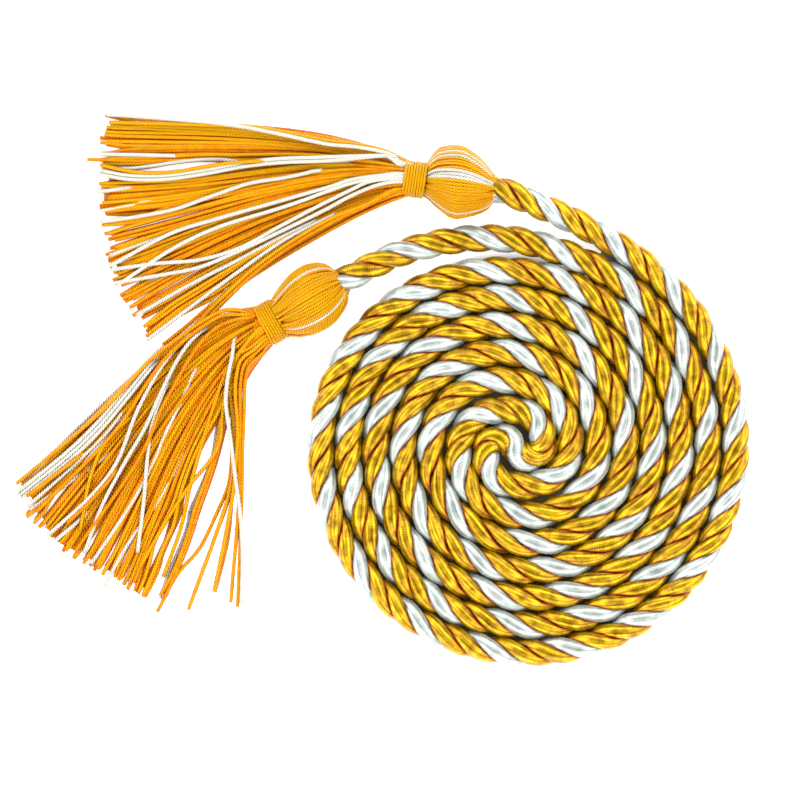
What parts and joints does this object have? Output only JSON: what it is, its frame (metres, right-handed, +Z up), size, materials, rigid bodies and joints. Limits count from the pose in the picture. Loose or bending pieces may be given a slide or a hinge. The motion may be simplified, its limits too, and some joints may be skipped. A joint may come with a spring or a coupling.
{
  "type": "honor cord",
  "caption": "Twisted cord with a tassel on each end, wound from its fold into a flat double spiral.",
  "frame": {"origin": "middle of the outer box, on the surface that the cord lies on", "axes": "+Z up from that surface, +X from the tassels towards the coil, +Y from the coil towards the first tassel"},
  "size_m": [0.189, 0.1422, 0.0155],
  "materials": {
    "cord": "wrapped satin strands, two gold and one white",
    "tassel_threads": "twisted threads, orange gold with some white",
    "tassel_binding": "thread wound round the neck"
  },
  "bodies": {
    "root": {"cord": "cord", "tassel_a_threads": "tassel_threads", "tassel_a_binding": "tassel_binding", "tassel_b_threads": "tassel_threads", "tassel_b_binding": "tassel_binding"}
  },
  "joints": []
}
